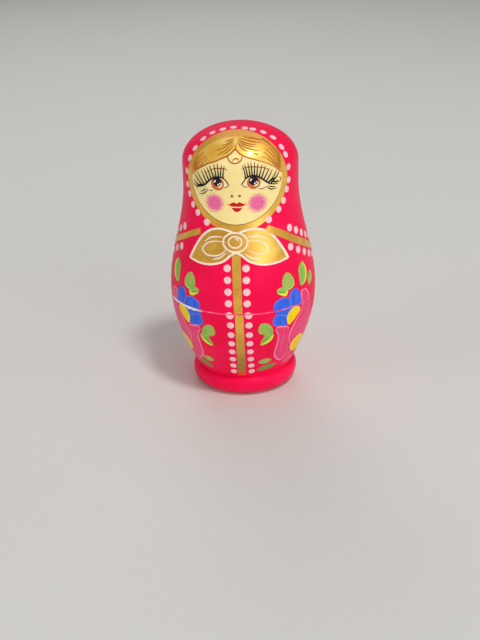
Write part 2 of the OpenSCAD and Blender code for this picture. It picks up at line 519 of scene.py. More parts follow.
def layOnDoll(piece, half, wrap):
    # bends a flat piece onto the doll; its flat place stays in a UV map for the brush marks
    mesh = piece.data
    flat = [(v.co.x / mm, -v.co.y / mm, v.co.z / mm) for v in mesh.vertices]
    sheet = mesh.uv_layers.new(name="paintSheet")
    for loop in mesh.loops:
        x, lift, z = flat[loop.vertex_index]
        sheet.data[loop.index].uv = sheetSpot(x, z)
    for vert, (x, lift, z) in zip(mesh.vertices, flat):
        r, across, up = surfaceFrame(z)
        angle = math.asin(max(-1, min(1, x / r))) if wrap == "front" else x / beltR
        angle += math.radians(paintTurn[half])
        out = (r + lift * across) * mm
        vert.co = (out * math.sin(angle), -out * math.cos(angle), (z + lift * up) * mm)
    mesh.update()


film = {"sunk": 0.03, "grid": 1.2, "closest": 0.25, "lean": 17}


def cutFilm(place, normal, inner=False, outer=False):
    bpy.ops.mesh.select_all(action="SELECT")
    bpy.ops.mesh.bisect(plane_co=(place * mm, 0, place * mm), plane_no=normal,
                        clear_inner=inner, clear_outer=outer)


def paintPatch(half, name, key, slotName, lines, lift, wrap="front", cut=None):
    # a film inside each closed line, cut off at a distance from the seam if one is given
    parts = []
    for line in lines:
        clearSelection()
        bpy.ops.mesh.primitive_circle_add(vertices=len(line), radius=mm, fill_type="NGON")
        part = bpy.context.object
        for vert, (x, z) in zip(part.data.vertices, line):
            vert.co = (x * mm, -lift * mm, z * mm)
        part.data.update()
        if part.data.polygons[0].normal.y > 0:
            part.data.flip_normals()
        parts.append(part)
    piece = joinUp(parts)
    low = [min(p[i] for line in lines for p in line) for i in (0, 1)]
    high = [max(p[i] for line in lines for p in line) for i in (0, 1)]
    bpy.ops.object.mode_set(mode="EDIT")
    if cut is not None:
        above = half == "upper"
        cutFilm(seam + cut if above else seam - cut, (0, 0, 1), inner=above, outer=not above)
    for i, normal in ((0, (1, 0, 0)), (1, (0, 0, 1))):
        place = low[i] + film["grid"] / 2
        while place < high[i]:
            cutFilm(place, normal)
            past = place - t["crownZ"] if i == 1 else 0  # closer cuts where the crown leans back
            place += film["grid"] * (max(film["closest"], 1 - past / film["lean"]) if past > 0 else 1)
    bpy.ops.object.mode_set(mode="OBJECT")
    layOnDoll(piece, half, wrap)
    coat = piece.modifiers.new("film", "SOLIDIFY")
    coat.thickness = (lift + film["sunk"]) * mm
    coat.offset = -1
    bpy.ops.object.modifier_apply(modifier=coat.name)
    bpy.ops.object.shade_smooth_by_angle(angle=smoothAngle["turned"])
    finishPaint(piece, half, name, key, slotName)


# how a stroke thins: a swelling between two shares of its length or a run to a point, and its power
swelling = {"both": (0.06, 0.94, 0.6), "lid": (0.14, 0.94, 0.6)}
pointed = {"tip": (0.93, 0.42), "end": (0.94, 0.28)}


def strokeFade(thin, share):
    if thin in swelling:
        start, end, power = swelling[thin]
        return math.sin(math.pi * min(max(share, start), end)) ** power
    if thin in pointed:
        end, power = pointed[thin]
        return (1 - min(share, end)) ** power
    return 1.0


def brushStrokes(half, name, key, slotName, strokes, lift, wrap="front", flatten=0.2):
    # each stroke: points, width in mm, and how it thins, or "even"
    clearSelection()
    bpy.ops.curve.primitive_nurbs_path_add(radius=mm)
    curve = bpy.context.object.data
    curve.splines.clear()
    curve.dimensions = "3D"
    curve.bevel_depth = 0.5 * mm
    curve.bevel_resolution = 1
    curve.use_fill_caps = True
    for points, width, thin in strokes:
        line = smoothLine(points, 5, False)
        spline = curve.splines.new("POLY")
        spline.points.add(len(line) - 1)
        for i, (point, (x, z)) in enumerate(zip(spline.points, line)):
            point.co = (x * mm, 0, z * mm, 1)
            point.radius = width * strokeFade(thin, i / (len(line) - 1))
    bpy.ops.object.convert(target="MESH")
    piece = bpy.context.object
    bpy.ops.object.mode_set(mode="EDIT")
    bpy.ops.mesh.select_all(action="SELECT")
    bpy.ops.mesh.normals_make_consistent(inside=False)
    bpy.ops.transform.resize(value=(1, flatten, 1), center_override=(0, 0, 0))  # paint lies flat
    bpy.ops.transform.translate(value=(0, -lift * mm, 0))
    bpy.ops.object.mode_set(mode="OBJECT")
    layOnDoll(piece, half, wrap)
    bpy.ops.object.shade_smooth_by_angle(angle=smoothAngle["brushed"])
    finishPaint(piece, half, name, key, slotName)


dropShape = {"segments": 16, "rings": 8, "cut": -0.3, "flat": 0.09, "lift": 0.02}


def modelDot():
    # one drop of thick paint: a low dome with a soft rim, 1 mm in radius
    clearSelection()
    bpy.ops.mesh.primitive_uv_sphere_add(
        segments=dropShape["segments"], ring_count=dropShape["rings"], radius=mm)
    drop = bpy.context.object
    drop.name = "paintDrop"
    bpy.ops.object.mode_set(mode="EDIT")
    bpy.ops.mesh.bisect(plane_co=(0, 0, dropShape["cut"] * mm), plane_no=(0, 0, 1),
                        clear_inner=True, use_fill=True)
    bpy.ops.mesh.select_all(action="SELECT")
    bpy.ops.transform.resize(value=(1, 1, dropShape["flat"]), center_override=(0, 0, 0))
    bpy.ops.object.mode_set(mode="OBJECT")
    return drop


dropModel = modelDot()


def paintDots(half, name, key, slotName, dots):
    # each dot: angle from the front in degrees, height, radius
    drops = []
    for angle, z, radius in dots:
        r, across, up = surfaceFrame(z)
        a = math.radians(angle + paintTurn[half])
        outward = Vector((across * math.sin(a), -across * math.cos(a), up))
        side = Vector((math.cos(a), math.sin(a), 0))
        drop = dropModel.copy()
        drop.data = dropModel.data.copy()
        bpy.context.collection.objects.link(drop)
        grid = Matrix((side, outward.cross(side), outward)).transposed().to_4x4()
        spot = Vector((r * math.sin(a), -r * math.cos(a), z)) * mm + outward * dropShape["lift"] * mm
        drop.data.transform(Matrix.Translation(spot) @ grid @ Matrix.Scale(radius, 4))
        drops.append(drop)
    piece = joinUp(drops)
    sheet = piece.data.uv_layers.active or piece.data.uv_layers.new()
    sheet.name = "paintSheet"
    for loop in piece.data.loops:
        co = piece.data.vertices[loop.vertex_index].co / mm
        sheet.data[loop.index].uv = sheetSpot(math.atan2(co.x, -co.y) * beltR, co.z)
    bpy.ops.object.shade_smooth_by_angle(angle=smoothAngle["brushed"])
    finishPaint(piece, half, name, key, slotName)


# head: gold oval, cream face and parted hair
headPaint = {
    "z": 94.3, "gold": (19.7, 19.3, 17.8), "face": (17.7, 16.4, 16.0), "hair": (18.1, 16.9, 16.1),
    "hairLeft": [(-17.6, 96.0), (-15.2, 98.4), (-13.1, 99.9), (-10.5, 101.4), (-8.1, 102.3),
                 (-5.6, 103.4), (-3.2, 104.4), (-1.6, 105.4)],
    "peak": (-0.1, 106.6), "stem": [(-0.1, 106.5), (0.1, 107.6), (0.1, 108.6)],
    "hairRight": [(1.6, 105.4), (3.4, 104.5), (5.9, 103.6), (9.0, 102.6), (12.1, 101.3), (15.1, 99.3),
                  (17.6, 96.9)],
    "sweeps": [
        [(2.4, 110.3), (4.8, 109.9), (7.0, 109.5), (9.6, 108.9)],
        [(1.2, 110.1), (2.7, 109.6), (4.9, 109.1), (7.1, 108.6), (9.5, 108.2)],
        [(0.9, 109.9), (2.1, 109.1), (3.7, 108.5), (6.0, 108.0), (7.8, 107.7)],
        [(0.7, 109.6), (2.0, 108.6), (3.6, 107.9), (5.7, 107.4), (8.0, 107.0)],
        [(0.5, 109.2), (1.7, 108.1), (3.4, 107.3), (5.7, 106.6), (7.8, 106.1), (9.2, 105.9)],
        [(0.6, 108.7), (1.6, 107.6), (2.9, 106.7), (3.9, 106.2), (4.9, 105.8)],
        [(6.9, 105.2), (8.8, 104.6)],
        [(9.4, 109.4), (10.9, 108.7), (12.6, 107.6), (13.6, 106.7)],
        [(-1.0, 109.8), (-2.4, 109.3), (-4.2, 108.8)],
        [(-1.0, 109.4), (-2.3, 108.7), (-3.8, 108.1), (-5.6, 107.6)],
        [(-1.0, 109.1), (-2.7, 108.0), (-4.4, 107.2), (-6.0, 106.6), (-7.6, 106.1)],
        [(-0.8, 108.8), (-2.2, 107.5), (-3.7, 106.4), (-5.2, 105.5), (-7.0, 104.7)],
        [(-0.5, 108.4), (-1.7, 106.9), (-3.0, 105.9), (-4.6, 105.0)],
    ],
    "corners": [
        [(17.1, 98.6), (16.9, 101.6), (16.5, 103.9), (15.5, 105.6)],
        [(17.0, 98.5), (16.5, 102.2), (15.6, 104.4), (13.8, 106.6)],
        [(16.9, 98.4), (16.0, 102.1), (14.7, 104.1), (12.8, 106.2)],
        [(16.8, 98.4), (15.3, 101.9), (13.8, 104.0), (11.5, 106.2)],
        [(16.6, 98.4), (14.8, 101.4), (13.0, 103.4), (11.0, 105.2)],
        [(16.4, 98.5), (14.5, 100.9), (12.6, 102.6), (10.2, 103.9)],
        [(-17.2, 98.0), (-16.8, 100.4), (-16.0, 102.1), (-14.5, 103.9)],
        [(-17.0, 97.9), (-16.4, 100.3), (-15.2, 102.4), (-13.0, 105.2)],
        [(-16.8, 97.9), (-15.8, 100.5), (-14.5, 102.5), (-12.7, 104.9)],
        [(-16.6, 97.9), (-15.2, 100.6), (-13.7, 102.4), (-12.1, 104.2)],
        [(-16.4, 97.9), (-14.8, 100.3), (-13.1, 102.1), (-11.4, 103.8)],
        [(-16.2, 97.9), (-14.3, 99.8), (-12.5, 101.5), (-10.8, 103.3)],
        [(-15.9, 97.9), (-13.8, 99.8), (-11.9, 101.0), (-9.9, 102.2)],
    ],
    "curl": [(-2.9, 104.3), (-2.4, 103.1), (-1.4, 102.3), (0.0, 102.0), (1.3, 102.3), (2.3, 103.1),
             (2.8, 104.3)],
    "curlInside": [(-1.1, 102.5), (-0.6, 103.3), (0.3, 103.7), (1.1, 103.5), (1.6, 102.8)],
    "scarfRight": [(2.8, 112.3), (5.9, 111.9), (10.1, 110.8), (14.0, 108.9), (17.4, 105.6), (19.0, 102.9),
                   (20.2, 98.0), (20.2, 92.7), (19.5, 89.2), (18.3, 85.1), (16.5, 82.2), (12.7, 79.0)],
    "scarfLeft": [(-1.8, 112.5), (-6.0, 111.9), (-10.1, 110.7), (-13.6, 108.7), (-16.7, 105.5),
                  (-18.8, 101.8), (-20.3, 96.3), (-20.3, 90.9), (-19.4, 87.4), (-17.9, 83.6),
                  (-15.8, 81.0), (-11.9, 78.0)],
}
hairWide = {"sweeps": 0.52, "corners": 0.5, "edge": 0.56, "stem": 0.6, "curl": 0.5, "curlInside": 0.48,
            "face": 0.3}


def headOval(oval, angles):
    # a little fuller than an ellipse where the crown leans back
    across, below, above = oval
    line = []
    for a in [math.radians(angle) for angle in angles]:
        up = below * math.sin(a) if math.sin(a) < 0 else above * math.sin(a) ** 0.9
        line.append((across * math.cos(a), headPaint["z"] + up))
    return line


hairEdge = smoothLine(headPaint["hairLeft"] + [headPaint["peak"]] * 2 + headPaint["hairRight"], 4, False)
hairTop = headOval(headPaint["hair"], range(8, 176, 4))
faceEdge = headOval(headPaint["face"], range(-1, -182, -4))
goldOval = headOval(headPaint["gold"], range(0, 360, 5))
paintPatch("upper", "gold_oval", "ring", "gold_paint", [goldOval], lift=0.04)
paintPatch("upper", "face", "cream", "cream_paint", [faceEdge + hairEdge], lift=0.09)
paintPatch("upper", "hair", "hair", "gold_paint", [hairEdge + hairTop], lift=0.11)
hairLines = [(line, hairWide["sweeps"], "both") for line in headPaint["sweeps"]]
hairLines += [(line, hairWide["corners"], "end") for line in headPaint["corners"]]
brushStrokes("upper", "hair_lines", "orange", "brown_paint", hairLines, lift=0.12)
faceLine = [(faceEdge[1:-1], hairWide["face"], "both")]
brushStrokes("upper", "face_line", "darkBrown", "brown_paint", faceLine, lift=0.1)
edgeLines = [(hairEdge[::4], hairWide["edge"], "both"), (headPaint["stem"], hairWide["stem"], "tip"),
             (headPaint["curl"], hairWide["curl"], "even"),
             (headPaint["curlInside"], hairWide["curlInside"], "both")]
brushStrokes("upper", "hairline", "brown", "brown_paint", edgeLines, lift=0.13)
print("head painted")

# eyes, drawn by hand from the nose outwards, so the two differ a little
eyePaint = {
    "right": {
        "lid": [(2.4, 93.9), (3.3, 95.1), (4.2, 96.3), (5.3, 97.0), (6.6, 97.3), (8.2, 97.0), (9.6, 96.2),
                (10.8, 95.2), (12.0, 94.1), (13.2, 93.4), (14.6, 92.9), (16.2, 92.8)],
        "below": [(11.7, 92.5), (10.0, 91.9), (7.1, 91.8), (4.7, 92.7)],
        "iris": (7.1, 94.5), "pupil": (7.0, 95.3),
        "glow": [(8.9, 94.4), (8.3, 93.5), (7.1, 93.1)],
        "glints": [[(6.4, 96.1), (5.7, 95.3)], [(7.4, 94.5), (7.6, 93.8)], [(8.1, 95.0), (8.2, 94.5)]],
        "lashRoots": (4.0, 13.4),
        "lashTips": [(2.9, 101.2), (5.1, 102.3), (8.0, 102.1), (11.1, 100.8), (13.8, 98.9), (16.7, 97.8)],
        "corner": [[(12.4, 93.9), (13.5, 94.7), (15.0, 95.1), (15.8, 95.8)],
                   [(13.6, 94.4), (15.2, 93.6), (16.3, 93.9)]],
        "under": [[(12.6, 92.6), (13.7, 92.0), (15.0, 91.8)],
                  [(11.8, 92.5), (12.9, 91.4), (14.1, 90.9), (15.7, 91.3)]],
        "lowerLid": [[(2.6, 93.8), (3.6, 93.1), (4.8, 92.7)],
                     [(8.9, 92.1), (9.6, 91.7), (10.6, 91.8), (11.8, 92.4)]],
        "brow": [(2.4, 99.9), (4.6, 100.6), (8.0, 100.5), (11.2, 99.8), (13.3, 98.5)],
    },
    "left": {
        "lid": [(-2.5, 93.6), (-3.4, 95.1), (-4.6, 96.3), (-5.9, 96.7), (-7.8, 96.6), (-9.1, 95.9),
                (-10.5, 94.8), (-11.5, 93.7), (-12.7, 92.7), (-14.1, 92.1), (-15.1, 91.7), (-15.8, 91.0)],
        "below": [(-11.3, 91.6), (-9.6, 91.0), (-7.1, 91.2), (-4.6, 92.3)],
        "iris": (-7.0, 93.9), "pupil": (-7.1, 94.8),
        "glow": [(-5.2, 94.4), (-5.4, 93.5), (-6.1, 92.8), (-6.9, 92.6)],
        "glints": [[(-7.6, 95.4), (-8.4, 94.4)], [(-6.8, 94.0), (-6.6, 93.3)],
                   [(-6.1, 94.4), (-5.7, 93.9)]],
        "lashRoots": (-4.7, -15.1),
        "lashTips": [(-4.1, 101.1), (-7.2, 101.8), (-10.6, 100.6), (-13.0, 98.9), (-16.2, 97.0),
                     (-17.0, 92.5)],
        "corner": [[(-12.0, 93.0), (-13.6, 92.3), (-15.4, 91.7)],
                   [(-12.6, 93.0), (-14.0, 92.7), (-15.3, 92.2)]],
        "under": [[(-11.8, 91.7), (-12.7, 90.7), (-14.1, 89.9)],
                  [(-10.9, 91.5), (-12.0, 90.0), (-13.4, 89.1), (-14.7, 88.9)]],
        "lowerLid": [[(-2.5, 93.4), (-3.4, 92.9), (-4.7, 92.3)],
                     [(-8.8, 91.2), (-9.6, 91.0), (-10.6, 91.1)]],
        "brow": [(-2.7, 99.6), (-3.9, 100.0), (-5.8, 100.1), (-8.5, 99.7), (-12.0, 97.7)],
    },
}
eyeSize = {"white": 12.0, "iris": 2.6, "pupil": (1.68, 1.8), "lashes": 12, "lash": 0.62, "lid": 0.78,
           "under": 0.46, "thin": 0.4, "glow": 0.7, "glint": 0.62, "bend": (0.25, 0.4), "brow": 0.46,
           "curl": [(16.4, 95.4), (17.1, 94.9), (17.1, 93.9), (16.6, 93.4), (15.7, 93.6)]}
eyes = [eyePaint["right"], eyePaint["left"]]


def eyelashes(eye):
    lid, tips = smoothLine(eye["lid"], 12, False), smoothLine(eye["lashTips"], 12, False)
    start, end = eye["lashRoots"]
    strokes = []
    for i in range(eyeSize["lashes"]):
        share = i / (eyeSize["lashes"] - 1)
        root = min(lid, key=lambda p: abs(p[0] - start - (end - start) * share))
        tip = tips[round(share * (len(tips) - 1))]
        aside = eyeSize["bend"][0] + eyeSize["bend"][1] * share  # the outer lashes bend out sooner
        strokes.append([root, (root[0] + (tip[0] - root[0]) * aside, (root[1] + tip[1]) / 2), tip])
    return strokes


whites = []
for eye in eyes:
    upperEdge = [p for p in eye["lid"] if abs(p[0]) <= eyeSize["white"]]
    whites.append(smoothLine(upperEdge + eye["below"], 4, True))
paintPatch("upper", "eye_whites", "eyeWhite", "white_paint", whites, lift=0.13)
irises = [ovalLine(*eye["iris"], eyeSize["iris"], eyeSize["iris"]) for eye in eyes]
paintPatch("upper", "irises", "iris", "brown_paint", irises, lift=0.16)
glow = [(eye["glow"], eyeSize["glow"], "both") for eye in eyes]
brushStrokes("upper", "iris_glow", "eyeWhite", "cream_paint", glow, lift=0.17)
pupils = [ovalLine(*eye["pupil"], *eyeSize["pupil"]) for eye in eyes]
paintPatch("upper", "pupils", "black", "black_paint", pupils, lift=0.21)
glints = [(line, eyeSize["glint"], "both") for eye in eyes for line in eye["glints"]]
brushStrokes("upper", "eye_glints", "glint", "white_paint", glints, lift=0.25)
darkLines = []
for eye in eyes:
    darkLines += [(line, eyeSize["lash"], "tip") for line in eyelashes(eye)]
    darkLines += [(line, eyeSize["lid"], "lid") for line in [eye["lid"]] + eye["corner"]]
    darkLines += [(line, eyeSize["under"], "both") for line in eye["under"]]
brushStrokes("upper", "lashes", "black", "black_paint", darkLines, lift=0.22)
lowerLids = [(line, eyeSize["thin"], "lid") for eye in eyes for line in eye["lowerLid"]]
brushStrokes("upper", "lower_lids", "darkBrown", "brown_paint", lowerLids, lift=0.17)
browLines = [(eye["brow"], eyeSize["brow"], "both") for eye in eyes]
browLines.append((eyeSize["curl"], eyeSize["thin"], "both"))
brushStrokes("upper", "brows", "brown", "brown_paint", browLines, lift=0.18)

# cheeks, nose and lips
mouthPaint = {
    "upperLip": [(-3.6, 85.9), (-3.6, 85.9), (-2.3, 86.1), (-1.3, 86.7), (-0.6, 86.8), (0.0, 86.5),
                 (0.4, 86.2), (0.8, 86.5), (1.4, 86.9), (2.2, 86.6), (3.1, 86.2), (4.4, 86.4),
                 (4.4, 86.4), (3.4, 85.7), (2.5, 85.2), (0.4, 85.1), (-1.6, 85.2), (-2.6, 85.6)],
    "lowerLip": [(-1.7, 84.6), (-1.7, 84.6), (0.5, 84.6), (2.6, 84.6), (2.6, 84.6), (2.0, 83.8),
                 (1.2, 83.2), (0.4, 83.0), (-0.3, 83.2), (-1.0, 83.8)],
    "betweenWide": 0.4, "between": [(-1.8, 84.9), (0.4, 84.8), (2.6, 84.9)],
    "nose": [(-1.4, 89.3), (1.6, 89.4)], "nostril": 0.5,
}
cheekR = cheekLook["radius"] + cheekLook["loose"]
cheeks = mirrored([ovalLine(*cheekLook["spot"], cheekR, cheekR)])
paintPatch("upper", "cheeks", "cheek", "pink_paint", cheeks, lift=0.12)
lips = [smoothLine(mouthPaint[lip], 4, True) for lip in ("upperLip", "lowerLip")]
paintPatch("upper", "lips", "red", "red_paint", lips, lift=0.14)
lipLine = [(mouthPaint["between"], mouthPaint["betweenWide"], "both")]
brushStrokes("upper", "lip_line", "white", "white_paint", lipLine, lift=0.13)
noseR = mouthPaint["nostril"]
nostrils = [ovalLine(*spot, noseR, noseR, count=14) for spot in mouthPaint["nose"]]
paintPatch("upper", "nose", "darkBrown", "brown_paint", nostrils, lift=0.14)
print("face painted")

# bow, stripe and buttons down the front
bowPaint = {
    "wing": [(0.4, 74.3), (2.4, 75.3), (6.8, 76.2), (11.0, 75.2), (14.6, 72.2), (17.8, 67.4),
             (20.2, 62.8), (20.2, 62.8), (15.9, 61.9), (10.6, 62.0), (5.6, 63.5), (2.3, 66.0),
             (0.0, 67.3), (0.0, 67.3)],
    "knot": (-0.3, 71.1, 4.85, 3.75), "eye": (-0.4, 71.2, 2.6, 2.2), "outline": 0.9, "knotLine": 0.75,
    "eyeLine": 0.6, "insideLine": 0.66, "leftShare": 0.955, "meet": [(1.4, 74.8), (-1.3, 74.8)],
    "inside": [
        [(-4.2, 71.0), (-8.3, 71.2), (-11.8, 69.9), (-13.7, 67.4), (-11.8, 65.5), (-7.9, 65.6),
         (-5.1, 67.0), (-4.0, 69.0)],
        [(-12.8, 70.4), (-9.8, 72.6), (-5.2, 73.0)],
        [(-9.6, 64.0), (-6.6, 64.9), (-4.0, 66.9)],
        [(4.4, 71.5), (8.6, 71.3), (11.3, 69.9), (12.3, 68.0), (11.3, 66.4), (8.1, 66.5), (4.6, 68.0)],
        [(4.6, 73.0), (8.6, 73.3), (11.8, 71.8)],
        [(3.4, 66.6), (6.4, 64.9), (9.6, 64.4)],
        [(-0.4, 72.7), (0.5, 72.4), (0.9, 71.6)],
    ],
}
stripePaint = {"half": 1.7, "lean": 0.6, "top": 67.0, "end": 9.7, "buttonX": 3.75, "buttonR": 1.5,
               "drift": 0.45, "shrink": 0.15,
               "upper": [61.0, 56.3, 51.5, 46.7], "lower": [37.0, 32.3, 27.8, 23.4, 19.2, 15.4, 11.9],
               "atSeam": 41.5}


def stripeX(z):
    return stripePaint["lean"] * (stripePaint["top"] - z) / (stripePaint["top"] - seam)


def ringLine(oval, count):
    line = ovalLine(*oval, count=count)
    return line + line[:1]


wingLines = [bowPaint["wing"], [(-x * bowPaint["leftShare"], z) for x, z in bowPaint["wing"]]]
wings = [smoothLine(line, 4, True) for line in wingLines]
wide, top, end = stripePaint["half"], stripePaint["top"], stripePaint["end"]
lean = stripeX(seam)
upperStripe = [(-wide, top), (wide, top), (wide + lean, seam + arris), (-wide + lean, seam + arris)]
paintPatch("upper", "stripe", "gold", "gold_paint", [upperStripe], lift=0.05)
paintPatch("upper", "bow", "gold", "gold_paint", wings, lift=0.07)
paintPatch("upper", "bow_knot", "gold", "gold_paint", [ovalLine(*bowPaint["knot"])], lift=0.1)
bowLines = []
for start, line in zip(bowPaint["meet"], wingLines):
    bowLines.append(([start] + line[1:-1], bowPaint["outline"], "even"))
bowLines += [(ringLine(bowPaint["knot"], 20), bowPaint["knotLine"], "even"),
             (ringLine(bowPaint["eye"], 16), bowPaint["eyeLine"], "even")]
bowLines += [(line, bowPaint["insideLine"], "both") for line in bowPaint["inside"]]
brushStrokes("upper", "bow_lines", "line", "white_paint", bowLines, lift=0.12, flatten=0.1)
lowerStripe = [(-wide, seam - arris), (wide, seam - arris), (wide, end), (-wide, end)]
paintPatch("lower", "stripe", "stripe", "gold_paint", [lowerStripe], lift=0.05)
print("bow and stripe painted")

# gold shoulder bands that run round to a point at the back
bandPaint = {
    "right": [(29, 75.5), (44, 72.2), (57, 68.7), (75, 64.4), (92, 60.4), (115, 56.0), (140, 52.8),
              (165, 50.8), (180, 50.4)],
    "left": [(-35, 74.1), (-48, 71.6), (-57, 69.7), (-70, 67.0), (-92, 60.8), (-115, 56.0), (-140, 52.8),
             (-165, 50.8), (-180, 50.4)],
    "halfRight": 1.5, "halfLeft": 1.2, "slantRight": 1.8, "slantLeft": 0.0, "slantRise": 0.25,
    "dotR": 1.55, "dotGap": 4.1, "dotStep": 9.0,
    "dotStart": {"right": (53.5, 50.5), "left": (59.0, 58.5)},
}
scarfDot = {"low": 1.45, "high": 1.35, "from": 80}


def bandShape(points, wide, slant):
    middle = smoothLine(onBelt(points), 5, False)
    sides = []
    for i in range(len(middle)):
        a, b = middle[max(i - 1, 0)], middle[min(i + 1, len(middle) - 1)]
        run = math.hypot(b[0] - a[0], b[1] - a[1])
        sides.append(((a[1] - b[1]) / run * wide, (b[0] - a[0]) / run * wide))
    near = [(x + u, z + v) for (x, z), (u, v) in zip(middle, sides)]
    far = [(x - u, z - v) for (x, z), (u, v) in zip(middle, sides)]
    lower = near if sides[0][1] < 0 else far
    x, z = lower[0]
    lower[0] = (x - slant, z + slant * bandPaint["slantRise"])  # the brush was set down aslant
    return near + far[::-1]


def bandHeight(side, angle):
    line = smoothLine(bandPaint[side], 8, False)
    return min(line, key=lambda p: abs(abs(p[0]) - angle))[1]


bands = [bandShape(bandPaint["right"], bandPaint["halfRight"], bandPaint["slantRight"]),
         bandShape(bandPaint["left"], bandPaint["halfLeft"], bandPaint["slantLeft"])]
paintPatch("upper", "bands", "gold", "gold_paint", bands, lift=0.19, wrap="belt")
dots = []
for x, z in headPaint["scarfRight"] + headPaint["scarfLeft"]:
    dots.append((frontAngle(x, z), z, scarfDot["low"] if z < scarfDot["from"] else scarfDot["high"]))
for side, sign in (("right", 1), ("left", -1)):
    for start, offset in zip(bandPaint["dotStart"][side], (bandPaint["dotGap"], -bandPaint["dotGap"])):
        run = 180 - bandPaint["dotStep"] / 2 - start  # even steps up to the middle of the back
        count = round(run / bandPaint["dotStep"])
        for i in range(count + 1):
            angle = start + run * i / count
            dots.append((sign * angle, bandHeight(side, angle) + offset, bandPaint["dotR"]))
for z in stripePaint["upper"]:
    for side in (-1, 1):
        x = side * stripePaint["buttonX"] + stripeX(z)
        dots.append((frontAngle(x, z), z, stripePaint["buttonR"]))
paintDots("upper", "dots", "white", "white_paint", dots)
dots = []
for z in stripePaint["lower"]:
    for side in (-1, 1):
        low = (seam - z) / seam
        x = side * stripePaint["buttonX"] + stripePaint["drift"] * low
        dots.append((frontAngle(x, z), z, stripePaint["buttonR"] * (1 - stripePaint["shrink"] * low)))
paintDots("lower", "dots", "white", "white_paint", dots)
buttonR = stripePaint["buttonR"]
lowerCut = mirrored([ovalLine(stripePaint["buttonX"], stripePaint["atSeam"], buttonR, buttonR, count=24)])
upperCut = [[(x + lean, z) for x, z in line] for line in lowerCut]
paintPatch("upper", "cut_dots", "white", "white_paint", upperCut, lift=0.08, cut=arris)
paintPatch("lower", "cut_dots", "white", "white_paint", lowerCut, lift=0.08, cut=arris)
print("bands and dots painted")

# folk flowers at the sides, drawn on the right as (angle from the front, height); the fellow on the left is
# off the mirror image by degrees further round, mm higher, and degrees for each mm below the seam
fellowOff = {
    "bud": (2.0, 0.0, 0.0), "tallBlue": (2.0, 0.2, 0.0), "wideBlue": (1.6, 0.0, 0.0),
    "rose": (4.6, 0.0, 0.0), "longPetal": (3.0, 0.0, 0.2), "seamBlue": (3.0, 0.0, 0.0),
    "lowBlue": (4.0, 0.0, 0.0), "centre": (4.8, 0.0, 0.0), "topLeaf": (0.0, 1.2, 0.0),
    "sideLeaf": (9.0, 1.2, 0.0), "frontLeaf": (-1.8, 0.1, 0.0), "flatLeaf": (-0.6, 0.0, 0.0),
    "lowLeaf": (7.6, -1.0, 0.0), "highLeaf": (5.8, -1.3, 0.0), "smallLeaf": (12.0, 0.1, 0.0),
    "thinLeaf": (17.0, 0.3, 0.0),
}
flowerPaint = {
    "upper": {
        "pink": [([(55.3, 46.9), (57.4, 47.6), (61.9, 47.3), (65.4, 45.1), (68.4, 42.2), (69.0, 40.0),
                   (57.0, 40.0), (55.8, 44.6)], "bud")],
        "blue": [([(48.6, 49.5), (51.6, 48.8), (53.8, 46.9), (54.6, 44.5), (54.8, 41.0), (46.2, 41.0),
                   (45.4, 42.9), (42.6, 45.6), (42.8, 47.7), (44.9, 49.0)], "tallBlue"),
                 ([(42.0, 46.0), (38.7, 47.0), (35.4, 47.1), (31.0, 46.4), (28.6, 45.0), (28.2, 43.2),
                   (28.8, 41.0), (44.6, 41.0), (44.6, 43.0)], "wideBlue")],
    },
    "lower": {
        "pink": [([(55.6, 43.4), (55.1, 40.3), (53.4, 37.7), (50.5, 36.2), (48.4, 34.7), (46.5, 32.9),
                   (44.9, 31.0), (44.0, 28.5), (44.9, 25.8), (47.3, 23.2), (51.4, 20.8), (58.0, 22.4),
                   (63.0, 25.0), (65.6, 28.5), (67.4, 32.0), (68.2, 36.0), (67.6, 40.0), (66.6, 43.4)],
                  "rose"),
                 ([(62.0, 23.6), (65.8, 28.8), (70.0, 32.4), (75.4, 35.2), (81.4, 36.4), (86.6, 35.0),
                   (89.4, 31.4), (88.8, 27.2), (84.0, 23.8), (77.0, 21.4), (69.0, 20.4)], "rose"),
                 ([(71.0, 20.6), (78.6, 22.4), (86.0, 23.8), (92.0, 23.0), (95.2, 19.8), (93.4, 16.4),
                   (87.0, 14.4), (78.6, 14.2), (71.6, 16.2)], "rose"),
                 ([(45.6, 13.0), (52.0, 14.6), (60.0, 15.6), (68.0, 15.8), (73.6, 15.0), (74.0, 13.2),
                   (67.0, 12.0), (57.0, 11.6), (49.0, 12.0)], "rose"),
                 ([(29.0, 33.7), (30.3, 34.6), (33.0, 34.5), (36.4, 34.0), (39.6, 33.7), (42.3, 32.4),
                   (43.2, 31.0), (43.5, 28.5), (44.5, 25.6), (47.0, 23.0), (50.8, 20.4), (56.9, 17.5),
                   (50.6, 16.0), (46.0, 15.4), (41.7, 15.2), (36.7, 16.4), (32.9, 18.7), (31.5, 20.9),
                   (31.7, 23.3), (32.3, 26.4), (32.2, 29.2), (30.9, 31.4), (29.0, 32.7)], "longPetal")],
        "blue": [([(27.0, 43.4), (27.6, 41.6), (29.2, 40.5), (38.6, 39.0), (44.0, 39.0), (50.0, 41.0),
                   (54.6, 41.6), (54.8, 43.4)], "seamBlue"),
                 ([(29.0, 40.2), (26.8, 39.4), (26.0, 37.6), (26.6, 35.7), (29.0, 35.0), (33.0, 34.6),
                   (38.0, 34.4), (40.4, 34.6), (41.0, 37.0), (40.0, 38.6), (35.0, 39.3)], "lowBlue")],
    },
}
